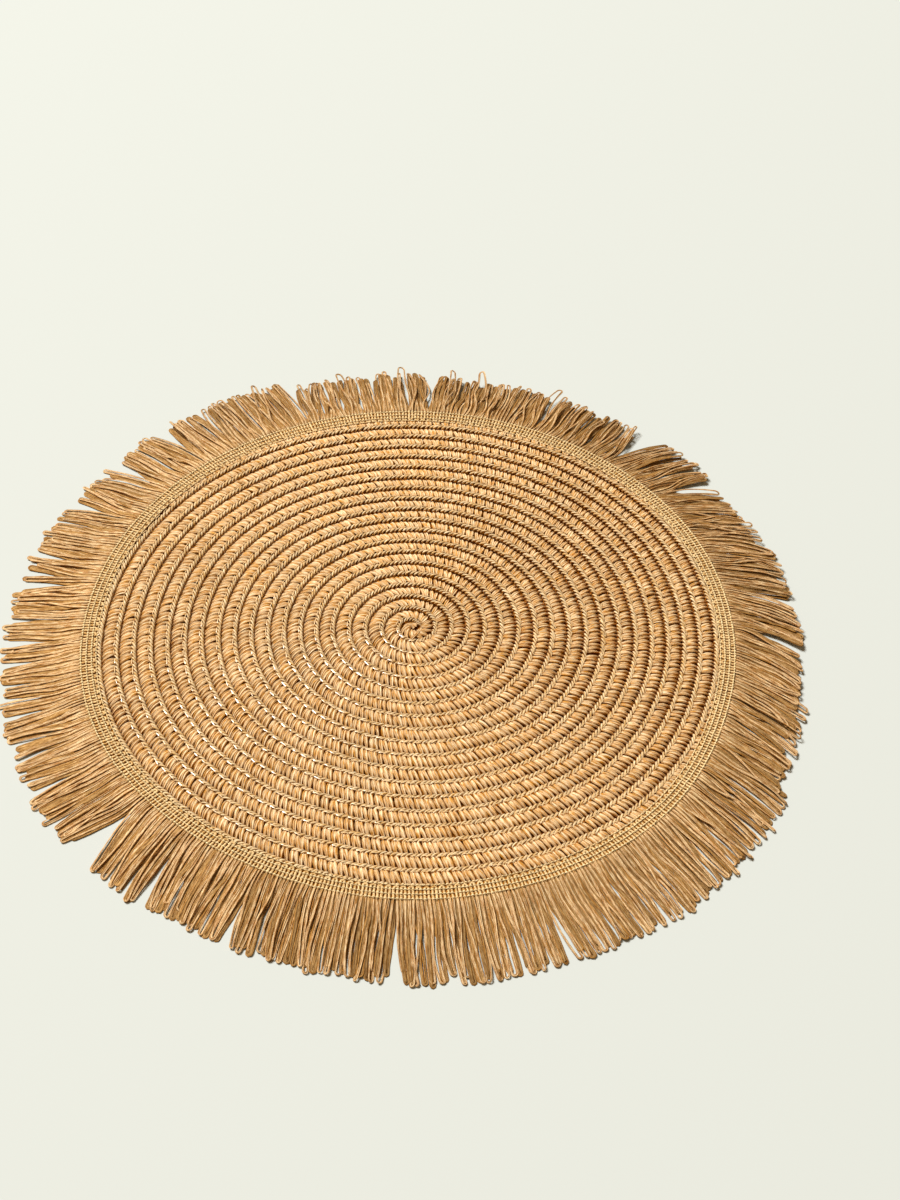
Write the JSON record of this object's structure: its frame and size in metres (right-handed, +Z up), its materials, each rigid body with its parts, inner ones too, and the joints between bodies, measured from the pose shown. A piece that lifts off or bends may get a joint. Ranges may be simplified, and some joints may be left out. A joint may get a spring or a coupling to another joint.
{
  "type": "round fringed placemat",
  "caption": "Round table mat of paper yarn: a flat braid wound in a spiral and sewn, with a woven heading and a fringe of uncut yarn loops around the rim.",
  "frame": {"origin": "centre of the flat underside, on the table", "axes": "+Z up out of the mat's face, +X to the right and -Y towards the viewer of the picture"},
  "size_m": [0.4173, 0.4197, 0.0046],
  "materials": {
    "braid": "matte twisted paper yarn",
    "heading": "matte fine paper yarn",
    "fringe": "satin twisted paper yarn"
  },
  "bodies": {
    "root": {"woven_body": "braid", "trim_heading": "heading", "loop_fringe": "fringe"}
  },
  "joints": []
}
